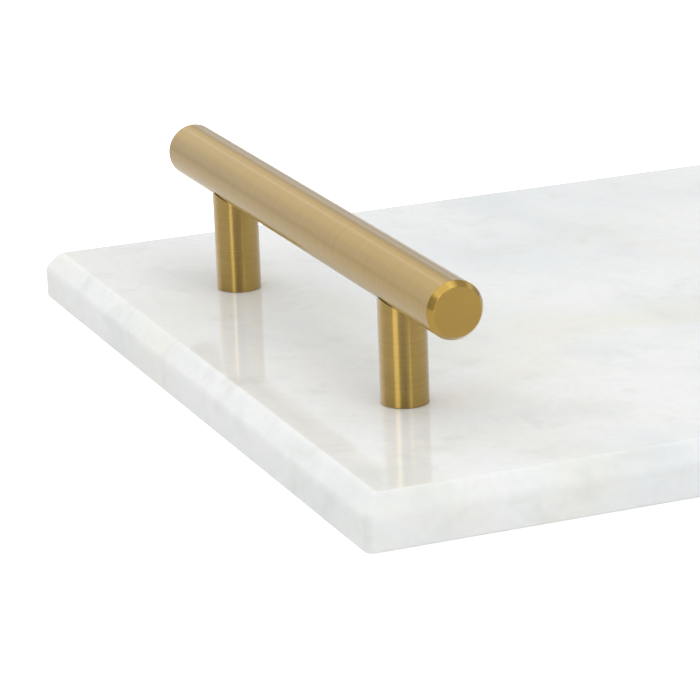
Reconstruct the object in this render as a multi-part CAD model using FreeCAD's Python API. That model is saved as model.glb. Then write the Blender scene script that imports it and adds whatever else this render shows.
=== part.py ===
"""A marble vanity tray with a brass bar handle standing on each end.

The slab is one polished stone, bevelled round its top edge. Each handle is a round bar on
two posts. A grub screw joins each post to the bar, and a pan-head screw with a washer comes
up through the stone from a counterbore underneath and pulls the post down on the slab.
Four silicone feet stick under the corners.

Millimetres. +X runs along the tray's long side, +Y along its short side and +Z up. The
origin is on the surface that the tray stands on, below the middle of the slab.
"""

import FreeCAD, Part
import math
import os
from FreeCAD import Vector

# Slab of stone
SLAB_LENGTH = 300.0
SLAB_WIDTH = 200.0
SLAB_THICKNESS = 11.0
BEVEL_RUN = 3.3  # how far the top bevel reaches in over the top face
BEVEL_DROP = 3.7  # how far it reaches down the side
BOTTOM_ARRIS = 0.8
CORNER_RADIUS = 2.0  # the eased upright corners, seen from above

# Handles
HANDLE_INSET = 30.0  # from the slab's end to the bar's axis
BAR_DIAMETER = 12.0
BAR_AXIS_HEIGHT = 26.0  # above the slab's top face
BAR_OVERHANG = 28.2  # from a post's axis to the bar's end
BAR_END_RUN = 1.5  # the turned chamfer at each end, along the bar
BAR_END_DROP = 1.0  # and across it
POST_DIAMETER = 10.0
POST_SPACING = 96.0
POST_EDGE = 0.2  # broken edge at the post's foot
SADDLE_EASE = 0.5  # the saddle's radius is this much more than the bar's

# Fasteners, as major diameter and pitch of each thread
SCREW_THREAD = 4.0
SCREW_PITCH = 0.7
SCREW_HEAD_DIAMETER = 8.0
SCREW_HEAD_HEIGHT = 3.1
SCREW_CROWN_RADIUS = 6.5
WASHER_OUTER = 9.0
WASHER_INNER = 4.3
WASHER_THICKNESS = 0.8
STUD_THREAD = 5.0
STUD_PITCH = 0.8
STUD_IN_BAR = 6.0
STUD_IN_POST = 6.0
STUD_SOCKET = 2.5  # across the flats of the hexagon key
STUD_SOCKET_DEPTH = 2.5

# Cross recess in the screw's head
RECESS_SPAN = 4.2
RECESS_SLOT = 1.1
RECESS_DEPTH = 1.9
RECESS_FLOOR_SPAN = 1.5
RECESS_FLOOR_SLOT = 0.7

# Feet
FOOT_DIAMETER = 12.0
FOOT_HEIGHT = 2.0
FOOT_ROUNDING = 0.7
FOOT_INSET = 20.0  # from the slab's two edges to the foot's axis

# Clearances
SCREW_HOLE_EASE = 0.25  # round the screw where it passes through the stone
WELL_EASE = 1.0  # round the washer in its counterbore
HEAD_SETBACK = 0.9  # from the screw's head up to the slab's underside
TAP_EASE = 0.03  # between a thread's crest and the wall of its tapped hole
TAP_RUNOUT = 1.0  # a tapped hole's spare depth past the end of its thread
POST_WEB = 3.0  # brass left between the two tapped holes in a post

# Thread form, the same for every metric thread
FLANK_ANGLE = math.radians(30.0)
CREST_PER_PITCH = 1 / 8
DEPTH_PER_PITCH = 0.6134
ROOT_OVERLAP = 0.05  # how far the thread's ridge is sunk into its core

# Levels and places that follow from the sizes above
SLAB_BOTTOM = FOOT_HEIGHT
SLAB_TOP = SLAB_BOTTOM + SLAB_THICKNESS
BAR_AXIS = SLAB_TOP + BAR_AXIS_HEIGHT
BAR_BOTTOM = BAR_AXIS - BAR_DIAMETER / 2
BAR_LENGTH = POST_SPACING + 2 * BAR_OVERHANG
POST_HEIGHT = BAR_BOTTOM - SLAB_TOP  # on the post's own axis, to the bottom of its saddle
HANDLE_X = SLAB_LENGTH / 2 - HANDLE_INSET
POST_Y = POST_SPACING / 2
FOOT_X = SLAB_LENGTH / 2 - FOOT_INSET
FOOT_Y = SLAB_WIDTH / 2 - FOOT_INSET

# The screw takes the post's height, less the stud, the two run-outs and the web
SCREW_IN_POST = POST_HEIGHT - STUD_IN_POST - 2 * TAP_RUNOUT - POST_WEB
WELL_DEPTH = WASHER_THICKNESS + SCREW_HEAD_HEIGHT + HEAD_SETBACK
WELL_FLOOR = SLAB_BOTTOM + WELL_DEPTH
SCREW_SEAT = WELL_FLOOR - WASHER_THICKNESS
SCREW_LENGTH = SLAB_TOP - SCREW_SEAT + SCREW_IN_POST

SIDES = {"left": -1, "right": 1}
ENDS = {"front": -1, "back": 1}
UP = Vector(0, 0, 1)
ALONG_BAR = Vector(0, 1, 0)


def turned(outline):
    """The solid that (radius, height) points make when they are turned about the Z axis."""
    points = [Vector(radius, 0, height) for radius, height in outline]
    face = Part.Face(Part.makePolygon(points + points[:1]))
    return face.revolve(Vector(0, 0, 0), UP, 360)


def regular_prism(sides, across_flats, height):
    """A prism standing on z = 0, as a hexagon key's socket is."""
    radius = across_flats / 2 / math.cos(math.pi / sides)
    angles = [2 * math.pi * i / sides for i in range(sides)]
    points = [Vector(radius * math.cos(a), radius * math.sin(a), 0) for a in angles]
    return Part.Face(Part.makePolygon(points + points[:1])).extrude(UP * height)


def cross_outline(span, slot, height):
    """A plus sign with arms span long in all and slot wide, lying at a height."""
    far, near = span / 2, slot / 2
    quarter = [(far, -near), (far, near), (near, near)]
    points = []
    for turn in range(4):
        for x, y in quarter:
            points.append(Vector(x, y, height))
        quarter = [(-y, x) for x, y in quarter]
    return Part.makePolygon(points + points[:1])


def threaded_rod(major, pitch, length, start_chamfer, end_chamfer):
    """A rod from z = 0 up with a metric thread cut all along it, square or chamfered at each end."""
    outer = major / 2
    core = outer - DEPTH_PER_PITCH * pitch
    root = core - ROOT_OVERLAP
    crest_half = CREST_PER_PITCH * pitch / 2
    root_half = crest_half + (outer - root) * math.tan(FLANK_ANGLE)
    ridge_section = Part.makePolygon([
        Vector(root, 0, -root_half - pitch),
        Vector(outer, 0, -crest_half - pitch),
        Vector(outer, 0, crest_half - pitch),
        Vector(root, 0, root_half - pitch),
        Vector(root, 0, -root_half - pitch),
    ])
    # The ridge starts a turn early and ends a turn late, and the blank cuts it to length
    helix = Part.makeLongHelix(pitch, length + 2 * pitch, core, 0)
    helix.translate(Vector(0, 0, -pitch))
    ridge = Part.Wire(helix).makePipeShell([ridge_section], True, True)
    shaft = Part.makeCylinder(core, length)
    # The blank stands clear of the crests, and its cones meet the core at a chamfered end
    wide = outer + 1.0
    slope = wide - core
    outline = [(0, 0), (core, 0), (wide, slope)] if start_chamfer else [(0, 0), (wide, 0)]
    outline += [(wide, length - slope), (core, length)] if end_chamfer else [(wide, length)]
    blank = turned(outline + [(0, length)])
    return shaft.fuse(ridge).common(blank)


def edge_profile(length):
    """The slab's section across one of its edges' directions: bevel above, arris below."""
    half = length / 2
    right = [
        (half - BOTTOM_ARRIS, 0),
        (half, BOTTOM_ARRIS),
        (half, SLAB_THICKNESS - BEVEL_DROP),
        (half - BEVEL_RUN, SLAB_THICKNESS),
    ]
    return right + [(-x, z) for x, z in reversed(right)]


def marble_slab():
    """Both edge profiles run through each other, the upright corners eased, four holes drilled."""
    across = [Vector(x, -SLAB_WIDTH / 2, z) for x, z in edge_profile(SLAB_LENGTH)]
    along = [Vector(-SLAB_LENGTH / 2, y, z) for y, z in edge_profile(SLAB_WIDTH)]
    long_body = Part.Face(Part.makePolygon(across + across[:1])).extrude(Vector(0, SLAB_WIDTH, 0))
    wide_body = Part.Face(Part.makePolygon(along + along[:1])).extrude(Vector(SLAB_LENGTH, 0, 0))
    corner = Vector(-SLAB_LENGTH / 2, -SLAB_WIDTH / 2, 0)
    plan = Part.makeBox(SLAB_LENGTH, SLAB_WIDTH, SLAB_THICKNESS, corner)
    uprights = [e for e in plan.Edges if abs(e.tangentAt(e.FirstParameter).z) > 0.5]
    plan = plan.makeFillet(CORNER_RADIUS, uprights)
    slab = long_body.common(wide_body).common(plan)
    for x in (-HANDLE_X, HANDLE_X):
        for y in (-POST_Y, POST_Y):
            slab = slab.cut(slab_hole(x, y))
    slab.translate(Vector(0, 0, SLAB_BOTTOM))
    return slab


def slab_hole(x, y):
    """A screw's clearance hole and the counterbore below it, as the drill takes them out."""
    through = Part.makeCylinder(SCREW_THREAD / 2 + SCREW_HOLE_EASE, SLAB_THICKNESS, Vector(x, y, 0))
    well = Part.makeCylinder(WASHER_OUTER / 2 + WELL_EASE, WELL_DEPTH, Vector(x, y, 0))
    return through.fuse(well)


def grip_bar(side):
    """A round bar with a chamfer turned on each end, and a tapped hole over each post."""
    radius = BAR_DIAMETER / 2
    half = BAR_LENGTH / 2
    bar = turned([
        (0, -half),
        (radius - BAR_END_DROP, -half),
        (radius, BAR_END_RUN - half),
        (radius, half - BAR_END_RUN),
        (radius - BAR_END_DROP, half),
        (0, half),
    ])
    bar.rotate(Vector(0, 0, 0), Vector(1, 0, 0), -90)
    for y in (-POST_Y, POST_Y):
        mouth = Vector(0, y, -radius)
        bar = bar.cut(Part.makeCylinder(STUD_THREAD / 2 + TAP_EASE, STUD_IN_BAR + TAP_RUNOUT, mouth))
    bar.translate(Vector(side * HANDLE_X, 0, BAR_AXIS))
    return bar


def post():
    """A round post with a saddle for the bar, tapped from above for the stud and below for the screw."""
    radius = POST_DIAMETER / 2
    blank = turned([
        (0, 0),
        (radius - POST_EDGE, 0),
        (radius, POST_EDGE),
        (radius, BAR_AXIS_HEIGHT),
        (0, BAR_AXIS_HEIGHT),
    ])
    saddle_radius = BAR_DIAMETER / 2 + SADDLE_EASE
    saddle_start = Vector(0, -POST_DIAMETER, POST_HEIGHT + saddle_radius)
    saddle = Part.makeCylinder(saddle_radius, 2 * POST_DIAMETER, saddle_start, ALONG_BAR)
    screw_tap = Part.makeCylinder(SCREW_THREAD / 2 + TAP_EASE, SCREW_IN_POST + TAP_RUNOUT)
    stud_floor = Vector(0, 0, POST_HEIGHT - STUD_IN_POST - TAP_RUNOUT)
    stud_tap = Part.makeCylinder(STUD_THREAD / 2 + TAP_EASE, BAR_AXIS_HEIGHT, stud_floor)
    return blank.cut(saddle).cut(screw_tap).cut(stud_tap)


def bar_stud():
    """A grub screw, half in the post and half in the bar, with its key socket facing down."""
    rod = threaded_rod(STUD_THREAD, STUD_PITCH, STUD_IN_POST + STUD_IN_BAR, True, True)
    return rod.cut(regular_prism(6, STUD_SOCKET, STUD_SOCKET_DEPTH))


def mounting_screw():
    """A pan-head screw standing on its head, with the head's seat at z = 0."""
    head = Part.makeCylinder(SCREW_HEAD_DIAMETER / 2, SCREW_HEAD_HEIGHT, Vector(0, 0, -SCREW_HEAD_HEIGHT))
    crown = Part.makeSphere(SCREW_CROWN_RADIUS, Vector(0, 0, SCREW_CROWN_RADIUS - SCREW_HEAD_HEIGHT))
    mouth = cross_outline(RECESS_SPAN, RECESS_SLOT, -SCREW_HEAD_HEIGHT)
    floor = cross_outline(RECESS_FLOOR_SPAN, RECESS_FLOOR_SLOT, RECESS_DEPTH - SCREW_HEAD_HEIGHT)
    recess = Part.makeLoft([mouth, floor], True, True)
    shank = threaded_rod(SCREW_THREAD, SCREW_PITCH, SCREW_LENGTH, False, True)
    return head.common(crown).cut(recess).fuse(shank)


def washer():
    """A flat ring, lying on z = 0."""
    inner, outer = WASHER_INNER / 2, WASHER_OUTER / 2
    return turned([(inner, 0), (outer, 0), (outer, WASHER_THICKNESS), (inner, WASHER_THICKNESS)])


def foot():
    """A low silicone disc with its lower edge rounded, standing on z = 0."""
    disc = Part.makeCylinder(FOOT_DIAMETER / 2, FOOT_HEIGHT)
    lower_edge = [e for e in disc.Edges if e.Closed and e.CenterOfMass.z < FOOT_HEIGHT / 2]
    return disc.makeFillet(FOOT_ROUNDING, lower_edge)


def placed(shape, x, y, z):
    """A copy of a repeated piece where it belongs on the tray."""
    copy = shape.copy()
    copy.translate(Vector(x, y, z))
    return copy


def all_pieces():
    """Every piece of the tray by its name."""
    pieces = {"marble_slab": marble_slab()}
    repeated = {
        "post": (post(), SLAB_TOP),
        "bar_stud": (bar_stud(), BAR_BOTTOM - STUD_IN_POST),
        "mounting_screw": (mounting_screw(), SCREW_SEAT),
        "washer": (washer(), SCREW_SEAT),
    }
    corner_foot = foot()
    for side, sign_x in SIDES.items():
        pieces[f"{side}_grip_bar"] = grip_bar(sign_x)
        for end, sign_y in ENDS.items():
            for name, (shape, z) in repeated.items():
                pieces[f"{side}_{end}_{name}"] = placed(shape, sign_x * HANDLE_X, sign_y * POST_Y, z)
            pieces[f"{side}_{end}_foot"] = placed(corner_foot, sign_x * FOOT_X, sign_y * FOOT_Y, 0)
    return pieces


os.makedirs("parts", exist_ok=True)
for node, shape in all_pieces().items():
    shape.exportStep(f"parts/{node}.step")
    box = shape.BoundBox
    print(node, shape.ShapeType, len(shape.Solids), shape.isValid(), round(shape.Volume, 2),
          [round(v, 3) for v in (box.XMin, box.YMin, box.ZMin, box.XMax, box.YMax, box.ZMax)])
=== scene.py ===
# %% [markdown]
# A vanity tray: a slab of polished white marble with a satin brass bar handle on each end.
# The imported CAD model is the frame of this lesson. It gives every size and place, and here each
# piece that shows gets a finer mesh, a finish worked out from what it is really made of, and
# a plain white studio to stand in.

import math

import bmesh
import bpy
from mathutils import Matrix, Vector


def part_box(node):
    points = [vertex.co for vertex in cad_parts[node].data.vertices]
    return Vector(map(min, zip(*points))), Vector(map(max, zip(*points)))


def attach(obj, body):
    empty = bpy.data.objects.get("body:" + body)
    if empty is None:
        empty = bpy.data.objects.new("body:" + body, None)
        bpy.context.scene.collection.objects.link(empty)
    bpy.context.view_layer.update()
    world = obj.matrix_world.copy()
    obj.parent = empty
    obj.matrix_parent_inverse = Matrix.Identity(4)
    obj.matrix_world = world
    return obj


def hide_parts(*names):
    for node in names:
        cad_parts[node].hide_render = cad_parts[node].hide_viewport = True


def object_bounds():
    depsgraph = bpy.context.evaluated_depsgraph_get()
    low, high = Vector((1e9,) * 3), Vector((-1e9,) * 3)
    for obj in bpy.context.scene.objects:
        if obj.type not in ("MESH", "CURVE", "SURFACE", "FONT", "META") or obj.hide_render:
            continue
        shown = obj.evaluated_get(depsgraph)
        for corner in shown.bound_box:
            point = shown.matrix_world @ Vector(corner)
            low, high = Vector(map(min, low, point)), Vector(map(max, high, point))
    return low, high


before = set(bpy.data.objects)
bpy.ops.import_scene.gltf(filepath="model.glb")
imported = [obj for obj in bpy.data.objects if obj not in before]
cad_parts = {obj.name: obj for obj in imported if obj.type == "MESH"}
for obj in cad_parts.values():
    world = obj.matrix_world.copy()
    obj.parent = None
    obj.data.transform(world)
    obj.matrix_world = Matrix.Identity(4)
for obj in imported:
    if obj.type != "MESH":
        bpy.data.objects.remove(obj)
cad_low, cad_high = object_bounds()
mm = 0.001
print("nodes", len(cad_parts), "box in mm", [round(v / mm, 1) for v in (*cad_low, *cad_high)])

# %% [markdown]
# The real tray is put together at four places, one under each end of each handle. Reading the
# places from the model's own boxes keeps every mesh below true to the CAD, whatever its sizes.

# %% Read the tray's own sizes
SIDES = ("left", "right")
ENDS = ("front", "back")
slab_low, slab_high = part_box("marble_slab")
slab_middle = (slab_low + slab_high) / 2
slab_half = (slab_high - slab_low) / 2
slab_top = slab_high.z


def axis_of(node):
    """The middle of a node's box, which is on the axis of a turned piece."""
    low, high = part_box(node)
    return (low + high) / 2


def radius_of(node):
    """Half a node's width along X, the radius of a turned piece."""
    low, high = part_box(node)
    return (high.x - low.x) / 2


bar_radius = radius_of("left_grip_bar")
bar_low, bar_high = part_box("left_grip_bar")
bar_half = (bar_high.y - bar_low.y) / 2
post_radius = radius_of("left_front_post")
print("slab top", round(slab_top / mm, 2), "bar radius", round(bar_radius / mm, 2),
      "bar half length", round(bar_half / mm, 2), "post radius", round(post_radius / mm, 2))

# %% [markdown]
# The camera comes before the pieces, so that every test render already has the right view. It
# looks over the tray's left front corner from low down, with a long lens that keeps the
# edges nearly parallel, and it is tilted a little, as a camera on a tripod often is. It aims at
# a point on the slab's underside, measured from the slab's left front corner.

# %% Place the camera
VIEW_AZIMUTH = math.radians(-21.4)
VIEW_ELEVATION = math.radians(16.88)
VIEW_ROLL = math.radians(-2.17)
VIEW_DISTANCE = 789.5 * mm
VIEW_LENS = 183.4  # on a sensor 36 wide
AIM_FROM_CORNER = Vector((46.5, 123.4, 0.25)) * mm

camera_data = bpy.data.cameras.new("studio_camera")
camera_data.lens = VIEW_LENS
camera_data.sensor_width = 36.0
camera = bpy.data.objects.new("studio_camera", camera_data)
bpy.context.scene.collection.objects.link(camera)
bpy.context.scene.camera = camera

backwards = Vector((
    math.sin(VIEW_AZIMUTH) * math.cos(VIEW_ELEVATION),
    -math.cos(VIEW_AZIMUTH) * math.cos(VIEW_ELEVATION),
    math.sin(VIEW_ELEVATION),
))
level_right = Vector((math.cos(VIEW_AZIMUTH), math.sin(VIEW_AZIMUTH), 0.0))
turn = Matrix.Rotation(-VIEW_ROLL, 3, -backwards)
right = turn @ level_right
upwards = backwards.cross(right)
aim = slab_low + AIM_FROM_CORNER
camera.matrix_world = Matrix.Translation(aim + backwards * VIEW_DISTANCE) @ Matrix((
    right, upwards, backwards)).transposed().to_4x4()
print("camera at mm", [round(v / mm, 1) for v in camera.matrix_world.translation])

# %% [markdown]
# Every edge on a real piece is a little round, and that small arc is what catches the light. So
# an outline here is written with plain corners, and one helper rounds each of them.
# The same outline can then be turned into a round piece or carried round the slab.

# %% Round the corners of an outline
ARC_STEPS = 6


def rounded(outline, radii, steps=ARC_STEPS):
    """Replaces each inner corner of an open outline of 2D points with an arc of its radius."""
    points = [Vector(outline[0])]
    for before, corner, after, radius in zip(outline, outline[1:], outline[2:], radii):
        corner = Vector(corner)
        back = (Vector(before) - corner).normalized()
        on = (Vector(after) - corner).normalized()
        half_angle = back.angle(on) / 2
        reach = radius / math.tan(half_angle)
        centre = corner + (back + on).normalized() * (radius / math.sin(half_angle))
        start = (corner + back * reach - centre).normalized()
        end = (corner + on * reach - centre).normalized()
        for i in range(steps + 1):
            points.append(centre + radius * start.slerp(end, i / steps))
    points.append(Vector(outline[-1]))
    return points


# %% [markdown]
# Two helpers turn rings of points into a closed mesh. Bar, post and foot are all turned on
# a lathe in real life, so their rings are circles. The slab's rings are rectangles with
# round corners, and the same skinning works for both.

# %% Skin rings into a mesh
ROUND_STEPS = 128


def skin(rings, cap_start=True, cap_end=True):
    """A bmesh that joins rings of equal length with quads and closes its ends."""
    bm = bmesh.new()
    rows = [[bm.verts.new(point) for point in ring] for ring in rings]
    count = len(rows[0])
    for low, high in zip(rows, rows[1:]):
        for i in range(count):
            j = (i + 1) % count
            bm.faces.new((low[i], low[j], high[j], high[i]))
    if cap_start:
        bm.faces.new(reversed(rows[0]))
    if cap_end:
        bm.faces.new(rows[-1])
    bmesh.ops.recalc_face_normals(bm, faces=bm.faces)
    return bm


def circle(radius, height, steps=ROUND_STEPS):
    """A ring of points about the Z axis. The height may be a function of x and y."""
    points = []
    for i in range(steps):
        angle = 2 * math.pi * i / steps
        x, y = radius * math.cos(angle), radius * math.sin(angle)
        points.append(Vector((x, y, height(x, y) if callable(height) else height)))
    return points


# %% [markdown]
# A mesh becomes a piece of the tray when it has a name, rides on a body of the frame and hides
# the CAD nodes it stands for. The weighted normals make each large face shade as flat as it is,
# so that only the small arcs bend the light.

# %% Turn a mesh into a piece
BODY = "root"


def make_piece(name, bm, nodes):
    """Links a mesh as a named piece on the frame's body and hides the CAD nodes it stands for."""
    mesh = bpy.data.meshes.new(name)
    bm.to_mesh(mesh)
    bm.free()
    for face in mesh.polygons:
        face.use_smooth = True
    piece = bpy.data.objects.new(name, mesh)
    bpy.context.scene.collection.objects.link(piece)
    normals = piece.modifiers.new("flat_faces", "WEIGHTED_NORMAL")
    normals.keep_sharp = True
    normals.weight = 100
    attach(piece, BODY)
    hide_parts(*nodes)
    print(name, len(mesh.vertices), "points", len(mesh.polygons), "faces")
    return piece


def cut(bm, cutters):
    """Takes closed cutter meshes out of a closed mesh and gives the result as a new bmesh."""
    scene = bpy.context.scene.collection
    objects = []
    for number, source in enumerate([bm, *cutters]):
        mesh = bpy.data.meshes.new(f"cutting_{number}")
        source.to_mesh(mesh)
        source.free()
        objects.append(bpy.data.objects.new(f"cutting_{number}", mesh))
        scene.objects.link(objects[-1])
    body = objects[0]
    for cutter in objects[1:]:
        step = body.modifiers.new("cut", "BOOLEAN")
        step.operation = "DIFFERENCE"
        step.solver = "EXACT"
        step.object = cutter
    bpy.context.view_layer.update()
    graph = bpy.context.evaluated_depsgraph_get()
    result = bmesh.new()
    result.from_mesh(body.evaluated_get(graph).to_mesh())
    for o in objects:
        mesh = o.data
        bpy.data.objects.remove(o)
        bpy.data.meshes.remove(mesh)
    return result


# %% [markdown]
# The slab is sawn from marble, its top edge is ground to a bevel on a stone router and its
# corners are eased by hand. A sawn slab could be a box with a bevel modifier, but the two
# ends of this bevel differ: crisp at the top and soft where it meets the side. So one edge
# outline, with its own radius at each corner, is carried round the slab.

# %% Build the marble slab
BEVEL_RUN = 3.3 * mm
BEVEL_DROP = 3.7 * mm
TOP_LINE_RADIUS = 1.6 * mm
SIDE_LINE_RADIUS = 2.6 * mm
ARRIS_RADIUS = 0.8 * mm
CORNER_RADIUS = 2.0 * mm
LEAST_CORNER = 0.3 * mm
CORNER_STEPS = 8
FLAT_MARGIN = 6.0 * mm  # how far the outline reaches in over the two flat faces


def slab_ring(inset, height):
    """A rectangle with round corners, inset from the slab's sides."""
    radius = max(CORNER_RADIUS - inset, LEAST_CORNER)
    half_x, half_y = slab_half.x - inset - radius, slab_half.y - inset - radius
    points = []
    for quarter, (sign_x, sign_y) in enumerate(((1, 1), (-1, 1), (-1, -1), (1, -1))):
        for i in range(CORNER_STEPS + 1):
            angle = math.pi / 2 * (quarter + i / CORNER_STEPS)
            x = sign_x * half_x + radius * math.cos(angle)
            y = sign_y * half_y + radius * math.sin(angle)
            points.append(Vector((slab_middle.x + x, slab_middle.y + y, height)))
    return points


edge_outline = rounded(
    [
        (FLAT_MARGIN, slab_top),
        (BEVEL_RUN, slab_top),
        (0.0, slab_top - BEVEL_DROP),
        (0.0, slab_low.z),
        (FLAT_MARGIN, slab_low.z),
    ],
    [TOP_LINE_RADIUS, SIDE_LINE_RADIUS, ARRIS_RADIUS],
)
slab_mesh = skin([slab_ring(inset, height) for inset, height in edge_outline])
print("edge outline has", len(edge_outline), "points")

# %% [markdown]
# Under each post the stone is drilled through for the screw and counterbored for its washer and
# head. A drill and a counterbore are turned tools, so each hole is cut with one stepped
# turned shape, and the well keeps the size that the washer needs.

# %% Drill the slab
SCREW_HOLE_RADIUS = 2.25 * mm
WELL_EASE = 1.0 * mm  # round the washer
DRILL_OVERSHOOT = 1.0 * mm
DRILL_STEPS = 64
well_radius = radius_of("left_front_washer") + WELL_EASE
well_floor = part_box("left_front_washer")[1].z


def drill(side, end):
    """A stepped cutter on one post's axis, from below the slab to above it."""
    centre = axis_of(f"{side}_{end}_post")
    place = Vector((centre.x, centre.y, 0.0))
    steps = [
        (well_radius, slab_low.z - DRILL_OVERSHOOT),
        (well_radius, well_floor),
        (SCREW_HOLE_RADIUS, well_floor),
        (SCREW_HOLE_RADIUS, slab_top + DRILL_OVERSHOOT),
    ]
    return skin([[p + place for p in circle(radius, z, DRILL_STEPS)] for radius, z in steps])


slab_mesh = cut(slab_mesh, [drill(side, end) for side in SIDES for end in ENDS])
marble_slab = make_piece("marble_slab_polished", slab_mesh, ["marble_slab"])

# %% [markdown]
# Only the top goes under the polishing heads. The bevel and the sides are rubbed by hand to
# a satin, and the underside and the holes are left as the saw and the drill made them. Three
# separate objects would open seams between the finishes, so the slab stays one mesh with three
# material slots, given out by where a face lies and which way it looks.

# %% Tell the slab's finishes apart
POLISHED, EASED, HONED = 0, 1, 2
HAIR = 0.01 * mm
LOOKS_DOWN = -0.99  # the Z of an underside face's normal
post_places = [axis_of(f"{side}_{end}_post").to_2d() for side in SIDES for end in ENDS]
for face in marble_slab.data.polygons:
    centre = face.center
    in_hole = any((centre.to_2d() - place).length < well_radius + HAIR for place in post_places)
    if centre.z > slab_top - HAIR:
        face.material_index = POLISHED
    elif in_hole or face.normal.z < LOOKS_DOWN:
        face.material_index = HONED
    else:
        face.material_index = EASED
finishes = [face.material_index for face in marble_slab.data.polygons]
print("polished, eased, honed faces", [finishes.count(index) for index in (POLISHED, EASED, HONED)])

# %% [markdown]
# A bar of this kind is solid brass rod, cut to length, with a chamfer turned on each end. The
# outline is half the rod with its chamfer, turned about the rod's own axis. Two blind
# holes underneath take the studs, cut at the places of the posts.

# %% Build the grip bars
CHAMFER_RUN = 1.5 * mm
CHAMFER_DROP = 1.0 * mm
CHAMFER_ROUNDING = 0.14 * mm
STUD_HOLE_EASE = 0.03 * mm
STUD_HOLE_RUNOUT = 1.0 * mm
LOOP_MARGIN = 4.0 * mm  # rings this far each side of a hole keep the cut off the long faces
BRUSHED, TURNED, BRIGHT = 0, 1, 2
LOOKS_ALONG = 0.97  # how far along the bar an end face's normal points

bar_half_outline = rounded(
    [
        (0.0, bar_half),
        (bar_radius - CHAMFER_DROP, bar_half),
        (bar_radius, bar_half - CHAMFER_RUN),
        (bar_radius, 0.0),
    ],
    [CHAMFER_ROUNDING, CHAMFER_ROUNDING],
)


def bar_outline(hole_places):
    """Radius and place along the bar, from its front end to its back end."""
    back_half = bar_half_outline[1:-1]
    front_half = [Vector((radius, -y)) for radius, y in back_half]
    loops = sorted(y + side * LOOP_MARGIN for y in hole_places for side in (-1, 1))
    return front_half + [Vector((bar_radius, y)) for y in loops] + back_half[::-1]


def grip_bar(side):
    """One bar as a mesh, with a blind hole over each of its posts."""
    centre = axis_of(f"{side}_grip_bar")
    places = [axis_of(f"{side}_{end}_post").y - centre.y for end in ENDS]
    lay_down = Matrix.Translation(centre) @ Matrix.Rotation(math.radians(-90), 4, "X")
    rings = [[lay_down @ p for p in circle(radius, y)] for radius, y in bar_outline(places)]
    cutters = []
    for end in ENDS:
        stud_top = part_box(f"{side}_{end}_bar_stud")[1].z
        place = axis_of(f"{side}_{end}_post")
        radius = radius_of(f"{side}_{end}_bar_stud") + STUD_HOLE_EASE
        heights = (centre.z - bar_radius - STUD_HOLE_RUNOUT, stud_top + STUD_HOLE_RUNOUT)
        offset = Vector((place.x, place.y, 0.0))
        rings_at = [circle(radius, z, DRILL_STEPS) for z in heights]
        cutters.append(skin([[p + offset for p in ring] for ring in rings_at]))
    return cut(skin(rings), cutters)


bars = {}
for side in SIDES:
    bar = make_piece(f"{side}_bar", grip_bar(side), [f"{side}_grip_bar"])
    centre = axis_of(f"{side}_grip_bar")
    for face in bar.data.polygons:
        along = abs(face.center.y - centre.y)
        if abs(face.normal.y) > LOOKS_ALONG:
            face.material_index = TURNED
        elif along > bar_half - CHAMFER_RUN - CHAMFER_ROUNDING / 2:
            face.material_index = BRIGHT
        else:
            face.material_index = BRUSHED
    bars[side] = bar

# %% [markdown]
# A post is a short rod with a saddle milled in its top, a little wider than the bar. The bar
# rests on the saddle's lowest line, and a thin wedge of shadow opens towards the post's
# edges. The rings follow the saddle by formula, so the wedge is real geometry.

# %% Build the posts
SADDLE_EASE = 0.5 * mm
POST_EDGE = 0.2 * mm
HORN_EDGE = 0.1 * mm
SCREW_TAP_RADIUS = 2.03 * mm
TAP_RUNOUT = 1.0 * mm


def post(side, end):
    """One post as a mesh, with its saddle and its two tapped holes."""
    node = f"{side}_{end}"
    centre = axis_of(f"{node}_post")
    bar_axis = axis_of(f"{side}_grip_bar").z
    screw_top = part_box(f"{node}_mounting_screw")[1].z
    stud_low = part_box(f"{node}_bar_stud")[0].z
    stud_hole = radius_of(f"{node}_bar_stud") + STUD_HOLE_EASE
    saddle_radius = bar_radius + SADDLE_EASE

    def saddle(x, y):
        return bar_axis + SADDLE_EASE - math.sqrt(saddle_radius ** 2 - x ** 2)

    def below_saddle(x, y):
        return saddle(x, y) - HORN_EDGE

    section = [
        (SCREW_TAP_RADIUS, screw_top + TAP_RUNOUT),
        (SCREW_TAP_RADIUS, slab_top),
        (post_radius - POST_EDGE, slab_top),
        (post_radius - POST_EDGE / 4, slab_top + POST_EDGE / 4),
        (post_radius, slab_top + POST_EDGE),
        (post_radius, below_saddle),
        (post_radius - HORN_EDGE, saddle),
        (stud_hole, saddle),
        (stud_hole, stud_low - TAP_RUNOUT),
    ]
    offset = Vector((centre.x, centre.y, 0.0))
    return skin([[p + offset for p in circle(radius, height)] for radius, height in section])


posts = [
    make_piece(
        f"{side}_{end}_turned_post", post(side, end), [f"{side}_{end}_post"])
    for side in SIDES
    for end in ENDS
]

# %% [markdown]
# The feet are moulded silicone discs. Their lower edge is round so that the tray slides off
# a fingertip and not off the shelf.

# %% Build the feet
FOOT_ROUNDING = 0.7 * mm
FOOT_TOP_EDGE = 0.15 * mm


def foot(side, end):
    """One moulded disc as a mesh."""
    low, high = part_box(f"{side}_{end}_foot")
    centre = (low + high) / 2
    radius = (high.x - low.x) / 2
    outline = rounded(
        [(radius / 2, low.z), (radius, low.z), (radius, high.z), (radius / 2, high.z)],
        [FOOT_ROUNDING, FOOT_TOP_EDGE],
    )
    offset = Vector((centre.x, centre.y, 0.0))
    return skin([[p + offset for p in circle(r, z)] for r, z in outline])


feet = [
    make_piece(
        f"{side}_{end}_moulded_foot", foot(side, end), [f"{side}_{end}_foot"])
    for side in SIDES
    for end in ENDS
]

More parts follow.
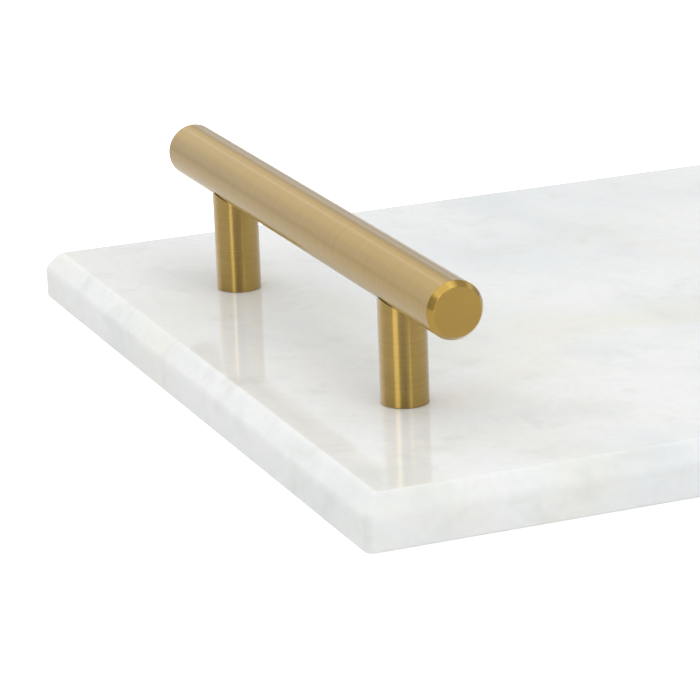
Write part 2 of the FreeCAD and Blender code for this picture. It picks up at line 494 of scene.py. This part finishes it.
# %% [markdown]
# Finishes come next. Colours are picked on a screen as hex values, but light adds up in linear
# numbers, so one function turns the one into the other. A second small function adds
# a shader node with its settings and whatever is plugged into it.

# %% Colour and node helpers


def linear(hex_colour, alpha=1.0):
    """An sRGB hex colour as the linear numbers that a shader works in."""
    channels = [int(hex_colour[i:i + 2], 16) / 255 for i in (1, 3, 5)]
    return (*[c / 12.92 if c <= 0.04045 else ((c + 0.055) / 1.055) ** 2.4 for c in channels], alpha)


def node(tree, kind, inputs=None, **settings):
    """Adds a node. Each input is given a value, or another node's output to link to."""
    made = tree.nodes.new(kind)
    for name, value in settings.items():
        setattr(made, name, value)
    for socket, value in (inputs or {}).items():
        if isinstance(value, bpy.types.NodeSocket):
            tree.links.new(value, made.inputs[socket])
        else:
            made.inputs[socket].default_value = value
    return made


def new_material(name):
    """An empty material with its tree and its output node."""
    material = bpy.data.materials.new(name)
    material.use_nodes = True
    tree = material.node_tree
    tree.nodes.clear()
    return material, tree


def finer(size_mm):
    """A pattern's scale for features of this size, in a model measured in metres."""
    return 1000.0 / size_mm


MIX_FACTOR, MIX_A, MIX_B, MIX_RESULT = 0, 6, 7, 2  # the colour sockets of a Mix node
print("white is", [round(v, 3) for v in linear("#FFFFFF")])

# %% [markdown]
# White marble is crystals of calcite pressed together. Light goes a few millimetres into it
# before it comes back, which softens every edge, and traces of graphite and iron draw grey
# clouds and warm stains through it, drawn out along the bed of the stone. Each trace is one
# layer of noise over the white, from the broadest to the single crystals; the crystals of
# about 0.5 mm are drawn 1.8 mm wide, or they would not show. An image of a slab would look as
# real from above, but noise in three dimensions also runs true over the bevel and down
# the sides. Calcite's IOR is about 1.5. Polish leaves a clear reflection that waves a
# little, the rubbed bevel a blurred one, and the sawn underside hardly any.

# %% Make the marble
MARBLE_WHITE = "#F7F9F8"
QUARRY_PLACE = 4.0  # another number saws the slab from another part of the block
BED_ANGLE = math.radians(-72)  # the way that the stone's bed runs across the slab
BED_DIP = 0.35
BED_STRETCH = 0.5
NOISE_FALLOFF = 0.55  # how strongly each finer step of a pattern shows
CALCITE_IOR = 1.5
LIGHT_DEPTH = 2.5 * mm  # how far light goes into the stone
LIGHT_SHARE = 0.35  # of the light that goes in and comes back
LIGHT_COLOURS = (1.0, 0.9, 0.8)  # red goes a little deeper than blue
TOOTH_LOW, TOOTH_HIGH = 0.3, 0.7  # between which the tooth's noise mostly lies
TOOTH_GLOSS = 0.2  # how far the tooth moves the roughness each way
MARBLE_LAYERS = [
    # along the bed, size in mm, detail, warp, where it starts and fills, strength, colour
    (False, 95.0, 2.0, 0.3, 0.40, 0.68, 0.80, "#E7ECEF"),
    (False, 55.0, 3.0, 0.6, 0.48, 0.72, 0.55, "#F1F0E0"),
    (True, 19.0, 5.0, 0.55, 0.48, 0.76, 0.42, "#DCE1E4"),
    (False, 9.0, 5.0, 0.4, 0.50, 0.76, 0.50, "#E2E4DF"),
    (False, 1.8, 2.0, 0.0, 0.35, 0.70, 0.15, "#E2E4E2"),
]


def marble(name, roughness, tooth_depth, tooth_mm):
    """White marble. The tooth is what the last tool left on the surface."""
    material, tree = new_material(name)
    place = node(tree, "ShaderNodeTexCoord").outputs["Object"]
    turned = node(tree, "ShaderNodeMapping", {
        "Vector": place, "Rotation": (0.0, BED_DIP, -BED_ANGLE)})
    bedded = node(tree, "ShaderNodeMapping", {
        "Vector": turned.outputs["Vector"], "Scale": (BED_STRETCH, 1.0, 1.0)})

    colour = linear(MARBLE_WHITE)
    for along_bed, size, detail, warp, start, full, strength, tint in MARBLE_LAYERS:
        noise = node(tree, "ShaderNodeTexNoise", {
            "Vector": bedded.outputs["Vector"] if along_bed else place, "W": QUARRY_PLACE,
            "Scale": finer(size), "Detail": detail, "Roughness": NOISE_FALLOFF,
            "Distortion": warp}, noise_dimensions="4D")
        amount = node(tree, "ShaderNodeMapRange", {
            "Value": noise.outputs["Fac"], "From Min": start, "From Max": full,
            "To Min": 0.0, "To Max": strength}, interpolation_type="SMOOTHSTEP")
        mixed = node(tree, "ShaderNodeMix", {
            MIX_FACTOR: amount.outputs["Result"], MIX_A: colour, MIX_B: linear(tint),
        }, data_type="RGBA")
        colour = mixed.outputs[MIX_RESULT]

    tooth = node(tree, "ShaderNodeTexNoise", {
        "Vector": place, "Scale": finer(tooth_mm), "Detail": 3.0, "Roughness": NOISE_FALLOFF})
    bump = node(tree, "ShaderNodeBump", {
        "Height": tooth.outputs["Fac"], "Strength": 1.0, "Distance": tooth_depth})
    worn = node(tree, "ShaderNodeMapRange", {
        "Value": tooth.outputs["Fac"], "From Min": TOOTH_LOW, "From Max": TOOTH_HIGH,
        "To Min": roughness * (1 - TOOTH_GLOSS), "To Max": roughness * (1 + TOOTH_GLOSS)})
    shader = node(tree, "ShaderNodeBsdfPrincipled", {
        "Base Color": colour,
        "Roughness": worn.outputs["Result"],
        "IOR": CALCITE_IOR,
        "Subsurface Weight": LIGHT_SHARE,
        "Subsurface Radius": LIGHT_COLOURS,
        "Subsurface Scale": LIGHT_DEPTH,
        "Normal": bump.outputs["Normal"],
    })
    node(tree, "ShaderNodeOutputMaterial", {"Surface": shader.outputs["BSDF"]})
    print(name, len(tree.nodes), "nodes")
    return material


marble_finishes = [
    marble("polished_marble", 0.05, 0.002 * mm, 9.0),
    marble("eased_marble", 0.36, 0.004 * mm, 3.0),
    marble("honed_marble", 0.55, 0.02 * mm, 0.8),
]
for finish in marble_finishes:
    marble_slab.data.materials.append(finish)

# %% [markdown]
# Brushed brass: the rod turns in a lathe against an abrasive belt, which leaves fine rings
# round it. Each ring is a groove that scatters light along the rod and hardly at all
# round it, so a lamp shows as a long bright line. Bump alone could draw the rings but not that
# line, so the metal is anisotropic, with its tangent turned about the rod's axis. Brass is
# about two parts copper to one part zinc. The hex below starts from its yellow and is then
# matched, and the end that the lathe faced gets a touch darker copy of it as painted shade.
# A clear lacquer keeps it from tarnishing and turns it paler at low angles. The real rings are
# perhaps 0.05 mm apart, too fine to show here, so they are drawn 0.4 mm apart.

# %% Make the brass finishes
BRASS = "#B69649"
# the end faces get a touch darker copy of the brass: painted shade
SHADED_END_BRASS = "#B29247"
GROOVE = "#8A6C30"
RING_MM = 0.4
RING_CROSSING = 0.02  # how slowly the pattern changes round the rod
RINGS_LOW, RINGS_HIGH = 0.25, 0.75  # between which the rings' noise mostly lies
RING_FALLOFF = 0.7
RING_GLOSS = 0.1  # how far the rings move the roughness each way
GROOVE_SHADE = 0.3
ACROSS_GROOVES = 0.25  # of a turn
LACQUER_GLOSS = 0.15
LACQUER_IOR = 1.5


def brass(name, colour, axis, roughness, stretch, ring_depth, lacquer):
    """Satin brass brushed round one axis of the model, under a thin lacquer."""
    material, tree = new_material(name)
    place = node(tree, "ShaderNodeTexCoord").outputs["Object"]
    scale = [RING_CROSSING] * 3
    scale["XYZ".index(axis)] = 1.0
    rings_at = node(tree, "ShaderNodeMapping", {"Vector": place, "Scale": scale}).outputs["Vector"]
    rings = node(tree, "ShaderNodeTexNoise", {
        "Vector": rings_at, "Scale": finer(RING_MM),
        "Detail": 3.0, "Roughness": RING_FALLOFF}).outputs["Fac"]
    tone = node(tree, "ShaderNodeMapRange", {
        "Value": rings, "From Min": RINGS_LOW, "From Max": RINGS_HIGH,
        "To Min": 0.0, "To Max": GROOVE_SHADE}).outputs["Result"]
    colour = node(tree, "ShaderNodeMix", {
        MIX_FACTOR: tone, MIX_A: linear(colour), MIX_B: linear(GROOVE)}, data_type="RGBA")
    rough = node(tree, "ShaderNodeMapRange", {
        "Value": rings, "From Min": RINGS_LOW, "From Max": RINGS_HIGH,
        "To Min": roughness * (1 - RING_GLOSS),
        "To Max": roughness * (1 + RING_GLOSS)}).outputs["Result"]
    bump = node(tree, "ShaderNodeBump", {"Height": rings, "Strength": 1.0, "Distance": ring_depth})
    grooves = node(tree, "ShaderNodeTangent", direction_type="RADIAL", axis=axis)
    shader = node(tree, "ShaderNodeBsdfPrincipled", {
        "Base Color": colour.outputs[MIX_RESULT],
        "Metallic": 1.0,
        "Roughness": rough,
        "Anisotropic": stretch,
        "Anisotropic Rotation": ACROSS_GROOVES,
        "Tangent": grooves.outputs["Tangent"],
        "Normal": bump.outputs["Normal"],
        "Coat Weight": lacquer,
        "Coat Roughness": LACQUER_GLOSS,
        "Coat IOR": LACQUER_IOR,
    })
    node(tree, "ShaderNodeOutputMaterial", {"Surface": shader.outputs["BSDF"]})
    print(name, len(tree.nodes), "nodes")
    return material


brushed_bar = brass("brushed_brass_bar", BRASS, "Y", 0.34, 1.0, 0.003 * mm, 0.85)
brushed_post = brass("brushed_brass_post", BRASS, "Z", 0.34, 1.0, 0.003 * mm, 1.0)
# the end faces take the darker copy of the brass, which is painted shade
turned_face = brass("turned_brass_face", SHADED_END_BRASS, "Y", 0.35, 0.0, 0.0005 * mm, 0.5)
bright_chamfer = brass("turned_brass_chamfer", BRASS, "Y", 0.22, 0.0, 0.0005 * mm, 0.3)
for bar in bars.values():
    for material in (brushed_bar, turned_face, bright_chamfer):
        bar.data.materials.append(material)
for piece in posts:
    piece.data.materials.append(brushed_post)

# %% [markdown]
# The hardware underneath is seen only when the tray is turned over: screws and washers with
# a bright zinc plate, whose crystals give a fine grey grain, and grub screws with the blue-black
# of hot oxide. Their CAD shapes have real threads and stay as they are.

# %% Make the steel finishes
GRAIN_GLOSS = 0.3  # how far the grain moves the roughness each way
GRAIN_RISE = 0.002 * mm


def steel(name, light, dark, roughness, grain_mm, metallic):
    """A plated or blackened steel with a fine grain in its colour and its gloss."""
    material, tree = new_material(name)
    place = node(tree, "ShaderNodeTexCoord").outputs["Object"]
    grain = node(tree, "ShaderNodeTexNoise", {
        "Vector": place, "Scale": finer(grain_mm), "Detail": 4.0, "Roughness": 0.6}).outputs["Fac"]
    colour = node(tree, "ShaderNodeMix", {
        MIX_FACTOR: grain, MIX_A: linear(light), MIX_B: linear(dark)}, data_type="RGBA")
    rough = node(tree, "ShaderNodeMapRange", {
        "Value": grain, "To Min": roughness * (1 - GRAIN_GLOSS),
        "To Max": roughness * (1 + GRAIN_GLOSS)}).outputs["Result"]
    bump = node(tree, "ShaderNodeBump", {"Height": grain, "Strength": 1.0, "Distance": GRAIN_RISE})
    shader = node(tree, "ShaderNodeBsdfPrincipled", {
        "Base Color": colour.outputs[MIX_RESULT], "Metallic": metallic, "Roughness": rough,
        "Normal": bump.outputs["Normal"]})
    node(tree, "ShaderNodeOutputMaterial", {"Surface": shader.outputs["BSDF"]})
    return material


zinc_plate = steel("zinc_plated_steel", "#C9CCD1", "#A9ADB3", 0.3, 0.35, 1.0)
black_oxide = steel("black_oxide_steel", "#33353A", "#1E1F22", 0.42, 0.3, 0.8)
finish_of = {"mounting_screw": zinc_plate, "washer": zinc_plate, "bar_stud": black_oxide}
for side in SIDES:
    for end in ENDS:
        for kind, finish in finish_of.items():
            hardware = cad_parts[f"{side}_{end}_{kind}"]
            hardware.data.materials.clear()
            hardware.data.materials.append(finish)

# %% [markdown]
# Silicone rubber is milky: light scatters inside it, and its moulded skin is matt. A little
# transmission is tempting, but a foot 2 mm high over a pale shelf only needs the scatter.

# %% Make the silicone
SILICONE_SKIN_MM = 0.5
SILICONE_SKIN_RISE = 0.005 * mm
SILICONE_IOR = 1.41
MILKY, MILKIER = "#E4E5E2", "#D6D8D6"


def silicone(name):
    """Milky moulded silicone rubber with a matt skin."""
    material, tree = new_material(name)
    place = node(tree, "ShaderNodeTexCoord").outputs["Object"]
    skin_grain = node(tree, "ShaderNodeTexNoise", {
        "Vector": place, "Scale": finer(SILICONE_SKIN_MM), "Detail": 3.0}).outputs["Fac"]
    rough = node(tree, "ShaderNodeMapRange", {
        "Value": skin_grain, "To Min": 0.4, "To Max": 0.6}).outputs["Result"]
    colour = node(tree, "ShaderNodeMix", {
        MIX_FACTOR: skin_grain, MIX_A: linear(MILKY), MIX_B: linear(MILKIER)}, data_type="RGBA")
    bump = node(tree, "ShaderNodeBump", {
        "Height": skin_grain, "Strength": 1.0, "Distance": SILICONE_SKIN_RISE})
    shader = node(tree, "ShaderNodeBsdfPrincipled", {
        "Base Color": colour.outputs[MIX_RESULT], "Roughness": rough,
        "IOR": SILICONE_IOR, "Subsurface Weight": 0.6, "Subsurface Radius": (1.0, 1.0, 1.0),
        "Subsurface Scale": 1.0 * mm,
        "Normal": bump.outputs["Normal"]})
    node(tree, "ShaderNodeOutputMaterial", {"Surface": shader.outputs["BSDF"]})
    return material


milky_silicone = silicone("milky_silicone")
for piece in feet:
    piece.data.materials.append(milky_silicone)

# %% [markdown]
# The studio stands on a sheet of white acrylic lit softly from below, as product tables are, so
# the floor stays white right up to the stone. A plain diffuse disc would turn grey where the
# tray shades it, and one that really glowed would wash the stone's sides out. So the camera is
# shown a bright sheet, and the tray gets only a little of that glow. Seen from under it the
# sheet is clear, and the tray can be looked at from below.

# %% Lay the floor
FLOOR_RADIUS = 6.0
ACRYLIC_WHITE = "#EAEAEA"
ACRYLIC_MATT = 0.6
FLOOR_GLOW = 0.09  # what the sheet adds to the stone
FLOOR_SEEN_GLOW = 0.95  # what the camera is shown, so that the floor stays white
floor_mesh = bmesh.new()
floor_ring = [floor_mesh.verts.new(p) for p in circle(FLOOR_RADIUS, cad_low.z)]
floor_mesh.faces.new(floor_ring)
floor_data = bpy.data.meshes.new("acrylic_floor")
floor_mesh.to_mesh(floor_data)
floor_mesh.free()
floor = bpy.data.objects.new("acrylic_floor", floor_data)
bpy.context.scene.collection.objects.link(floor)

acrylic, tree = new_material("white_acrylic")
floor_seen = node(tree, "ShaderNodeLightPath").outputs["Is Camera Ray"]
floor_glow = node(tree, "ShaderNodeMapRange", {
    "Value": floor_seen, "To Min": FLOOR_GLOW, "To Max": FLOOR_SEEN_GLOW})
acrylic_shader = node(tree, "ShaderNodeBsdfPrincipled", {
    "Base Color": linear(ACRYLIC_WHITE), "Roughness": ACRYLIC_MATT,
    "Emission Color": linear("#FFFFFF"), "Emission Strength": floor_glow.outputs["Result"]})
from_below = node(tree, "ShaderNodeNewGeometry").outputs["Backfacing"]
clear = node(tree, "ShaderNodeBsdfTransparent")
one_way = node(tree, "ShaderNodeMixShader", {
    0: from_below, 1: acrylic_shader.outputs["BSDF"], 2: clear.outputs["BSDF"]})
node(tree, "ShaderNodeOutputMaterial", {"Surface": one_way.outputs["Shader"]})
floor.data.materials.append(acrylic)

# %% [markdown]
# The light is plain and soft. Most of it is a pale dome, brightest behind the tray's left, with a
# broad panel overhead. Brushed metal shows best with something dark to mirror, so the dome
# has a dark gap in front, where the camera's own side of the room would be. Its levels go
# round by azimuth in one colour ramp, which is easier to tune than a ring of lamps.

# %% Hang the dome
DOME_ROUND = [  # azimuth in degrees, from the back and clockwise seen from above, and brightness
    (-180, 0.60), (-172, 0.60), (-168, 0.02), (-138, 0.02), (-132, 0.45), (-60, 0.45), (-42, 1.20),
    (-5, 1.20), (15, 0.70), (60, 0.60), (100, 0.66), (165, 0.74), (180, 0.60),
]
PANEL_LEVEL = 1.42
PANEL_TOWARDS = (-0.24, 0.0, 0.97)
PANEL_INNER, PANEL_OUTER = math.cos(math.radians(31)), math.cos(math.radians(41))
HORIZON_SHARE = 0.85  # of the level higher up
HORIZON_HEIGHT = 0.15

world = bpy.data.worlds.new("studio_dome")
bpy.context.scene.world = world
world.use_nodes = True
tree = world.node_tree
tree.nodes.clear()
looking = node(tree, "ShaderNodeTexCoord").outputs["Generated"]
parts = node(tree, "ShaderNodeSeparateXYZ", {"Vector": looking}).outputs
azimuth = node(tree, "ShaderNodeMath", {0: parts["X"], 1: parts["Y"]}, operation="ARCTAN2")
turn_share = node(tree, "ShaderNodeMapRange", {
    "Value": azimuth.outputs["Value"], "From Min": -math.pi, "From Max": math.pi})
round_level = node(tree, "ShaderNodeValToRGB", {"Fac": turn_share.outputs["Result"]})
stops = round_level.color_ramp.elements
while len(stops) < len(DOME_ROUND):
    stops.new(0.5)
for stop, (degrees, level) in zip(stops, DOME_ROUND):
    stop.position = (degrees + 180) / 360
    stop.color = (level, level, level, 1.0)
towards_panel = node(tree, "ShaderNodeVectorMath", {
    0: looking, 1: PANEL_TOWARDS}, operation="DOT_PRODUCT")
over = node(tree, "ShaderNodeMapRange", {
    "Value": towards_panel.outputs["Value"], "From Min": PANEL_OUTER, "From Max": PANEL_INNER},
    interpolation_type="SMOOTHSTEP")
upper = node(tree, "ShaderNodeMix", {
    0: over.outputs["Result"], 2: round_level.outputs["Color"], 3: PANEL_LEVEL}, data_type="FLOAT")
horizon = node(tree, "ShaderNodeMapRange", {
    "Value": parts["Z"], "From Min": 0.0, "From Max": HORIZON_HEIGHT,
    "To Min": HORIZON_SHARE, "To Max": 1.0}, interpolation_type="SMOOTHSTEP")
dome_level = node(tree, "ShaderNodeMath", {
    0: upper.outputs[0], 1: horizon.outputs["Result"]}, operation="MULTIPLY")
dome = node(tree, "ShaderNodeBackground", {
    "Color": linear("#FFFFFF"), "Strength": dome_level.outputs[0]})
seen = node(tree, "ShaderNodeBackground", {"Color": linear("#FFFFFF"), "Strength": 1.0})
path = node(tree, "ShaderNodeLightPath")
choice = node(tree, "ShaderNodeMixShader", {
    0: path.outputs["Is Camera Ray"], 1: dome.outputs[0], 2: seen.outputs[0]})
node(tree, "ShaderNodeOutputWorld", {"Surface": choice.outputs[0]})
print("dome has", len(stops), "levels round it")

# %% [markdown]
# The bright lines on the brass are mirror images of narrow softboxes: one at the front left for
# the left of each post, a thin one in front for the right, one along the bar above it and a
# low one beside it for its upper rim. The polished top would mirror them too, as hard white
# shapes, so they light only the handles. Hanging them further off would blur the lines. A
# broad soft fill lights the front of the stone, and it is kept out of every reflection.

# %% Hang the softboxes
UP, BACKWARDS = Vector((0.0, 0.0, 1.0)), Vector((0.0, 1.0, 0.0))


def softbox(name, place, faces, along, width, length, brightness):
    """A rectangular lamp, with its length along one direction and the radiance asked for."""
    data = bpy.data.lights.new(name, "AREA")
    data.shape = "RECTANGLE"
    data.size = width
    data.size_y = length
    data.energy = brightness * math.pi * width * length
    lamp = bpy.data.objects.new(name, data)
    back = -Vector(faces).normalized()
    across = Vector(along).cross(back).normalized()
    lamp.matrix_world = Matrix.Translation(place) @ Matrix((
        across, back.cross(across), back)).transposed().to_4x4()
    lamp.visible_camera = False
    bpy.context.scene.collection.objects.link(lamp)
    print(name, round(data.energy, 2), "W")
    return lamp


def light_only(lamps, pieces):
    """Lets lamps shine on these pieces and on nothing else."""
    lit = bpy.data.collections.new(f"lit_by_{lamps[0].name}")
    for piece in pieces:
        lit.objects.link(piece)
    for lamp in lamps:
        lamp.light_linking.receiver_collection = lit


left_bar = axis_of("left_grip_bar")
above_bar = left_bar + Vector((0.10, 1.0, 0.96))
beside_bar = left_bar + Vector((0.87, 1.0, 0.48))
post_lamps = [
    softbox("post_strip", place=(-0.507, -0.359, 0.2), faces=(0.893, -0.451, 0.0),
            along=UP, width=0.42, length=0.4, brightness=3.0),
    softbox("edge_strip", place=(-0.015, -1.043, 0.35), faces=(-0.105, 0.995, 0.0),
            along=UP, width=0.08, length=0.9, brightness=4.0),
]
bar_lamps = [
    softbox("bar_strip", place=above_bar, faces=(0.0, 0.0, -1.0),
            along=BACKWARDS, width=0.18, length=3.0, brightness=0.50),
    softbox("rim_strip", place=beside_bar, faces=(-0.87, 0.0, -0.48),
            along=BACKWARDS, width=0.28, length=3.0, brightness=0.45),
]
light_only(post_lamps, [*posts, *bars.values()])
light_only(bar_lamps, bars.values())

fill = softbox("front_fill", place=(0.3, -1.5, 1.2), faces=(-0.3, 1.5, -1.2),
               along=UP, width=1.5, length=1.5, brightness=1.2)
fill.visible_glossy = False

# %% [markdown]
# The picture keeps its whites with the Standard view, which shows a radiance of one as pure
# white.

# %% Finish
bpy.context.scene.view_settings.view_transform = "Standard"
